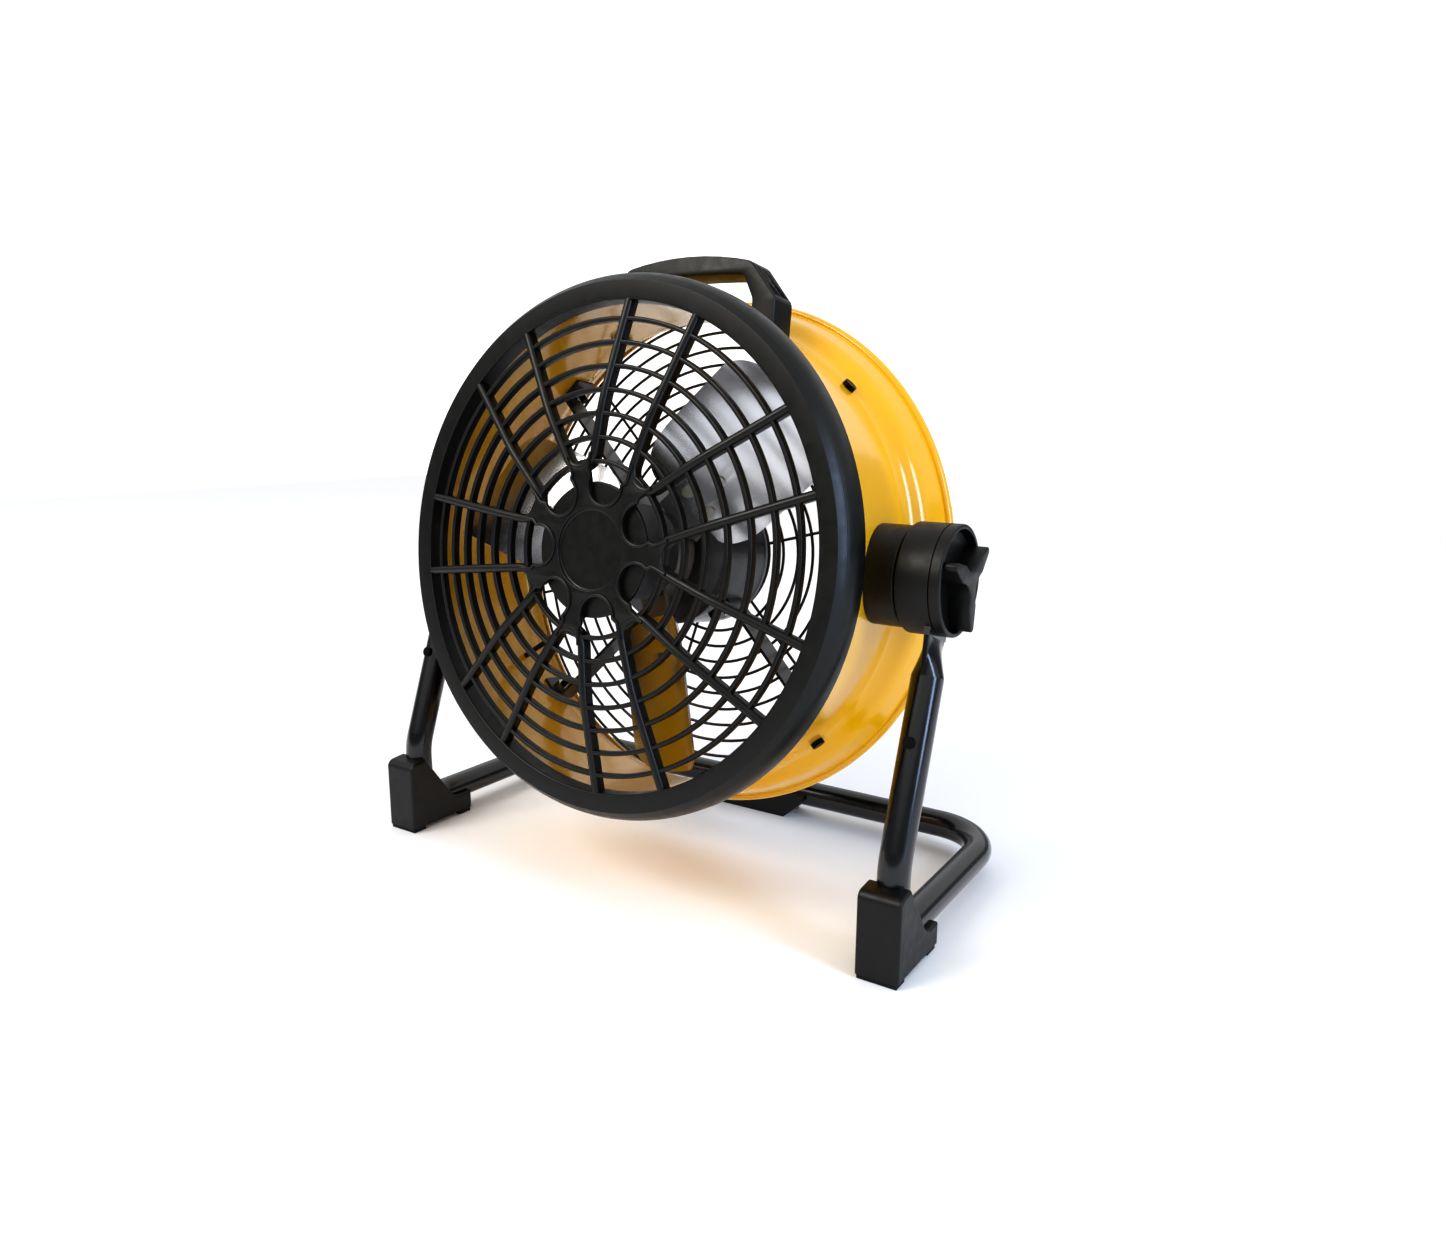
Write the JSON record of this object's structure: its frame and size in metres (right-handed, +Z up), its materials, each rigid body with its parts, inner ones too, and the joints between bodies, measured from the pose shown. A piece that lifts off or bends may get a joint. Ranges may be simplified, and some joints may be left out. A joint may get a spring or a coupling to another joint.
{
  "type": "axial air mover",
  "caption": "Portable axial air mover: a motor and fan in a steel drum behind a domed grille, tilting in a bent-tube stand with locking knobs and a carry handle.",
  "frame": {"origin": "on the floor, under the middle of the machine, halfway between its foremost and rearmost points", "axes": "+Z up, -Y the side the air leaves by, +X to the right hand of the machine seen from its outlet"},
  "size_m": [0.496, 0.2682, 0.48],
  "materials": {
    "black_tube": "gloss",
    "yellow_drum": "gloss",
    "black_wire": "satin",
    "black_motor": "satin",
    "black_bolt": "satin",
    "black_plastic": "satin",
    "grille_plastic": "matte",
    "blade_aluminium": "polished",
    "cast_aluminium": "cast",
    "plated_steel": "plated",
    "core_steel": "laminated",
    "copper": "enamelled wire",
    "rubber": "matte",
    "nylon": "matte",
    "lead": "matte"
  },
  "bodies": {
    "stand": {"base_tube": "black_tube", "leg_upper_left": "black_tube", "leg_upper_right": "black_tube", "leg_screws": "black_bolt", "foot_left": "black_plastic", "foot_right": "black_plastic", "foot_pads": "rubber", "rear_foot": "black_plastic", "friction_washer_left": "nylon", "friction_washer_right": "nylon", "leg_cap_left": "black_plastic", "leg_cap_right": "black_plastic"},
    "head": {"drum_shell": "yellow_drum", "front_grille": "grille_plastic", "grille_screws": "black_bolt", "rear_guard": "black_wire", "guard_clips": "black_plastic", "clip_screws": "black_bolt", "motor_body": "black_motor", "motor_bell_front": "cast_aluminium", "motor_bell_rear": "cast_aluminium", "motor_bearings": "plated_steel", "stator_core": "core_steel", "stator_windings": "copper", "motor_arm_1": "black_motor", "motor_arm_2": "black_motor", "motor_arm_3": "black_motor", "motor_arm_4": "black_motor", "arm_bolts": "black_bolt", "arm_nuts": "plated_steel", "motor_screws": "plated_steel", "pivot_housing_left": "black_plastic", "pivot_housing_right": "black_plastic", "pivot_bolt_left": "black_bolt", "pivot_bolt_right": "black_bolt", "handle": "black_plastic", "handle_screws": "plated_steel", "control_box": "black_plastic", "control_box_lid": "black_plastic", "lid_screws": "plated_steel", "rotary_switch": "black_plastic", "run_capacitor": "nylon", "cord_gland": "black_plastic", "motor_lead": "lead"},
    "fan": {"rotor_core": "core_steel", "motor_shaft": "plated_steel", "fan_spider": "cast_aluminium", "fan_blade_1": "blade_aluminium", "fan_blade_2": "blade_aluminium", "fan_blade_3": "blade_aluminium", "blade_rivets": "plated_steel", "fan_nut": "plated_steel"},
    "knob_left": {"knob_left": "black_plastic"},
    "knob_right": {"knob_right": "black_plastic"},
    "speed_dial": {"speed_dial": "black_plastic"}
  },
  "joints": [
    {"name": "head_tilt", "type": "hinge", "parent": "stand", "child": "head", "pos_m": [0, -0.0236, 0.2556], "axis": [-1, 0, 0], "range_deg": [-97.6, 82.4]},
    {"name": "fan_spin", "type": "hinge", "parent": "head", "child": "fan", "pos_m": [0, -0.0236, 0.2556], "axis": [0, -0.9912, 0.1323], "continuous": true},
    {"name": "knob_left_turn", "type": "hinge", "parent": "head", "child": "knob_left", "pos_m": [-0.235, -0.0236, 0.2556], "axis": [-1, 0, 0], "range_deg": [0, 270]},
    {"name": "knob_right_turn", "type": "hinge", "parent": "head", "child": "knob_right", "pos_m": [0.235, -0.0236, 0.2556], "axis": [1, 0, 0], "range_deg": [0, 270]},
    {"name": "speed_dial_turn", "type": "hinge", "parent": "head", "child": "speed_dial", "pos_m": [-0.18073, -0.05162, 0.13635], "axis": [-0.829, -0.074, -0.5543], "range_deg": [0, 135]}
  ]
}
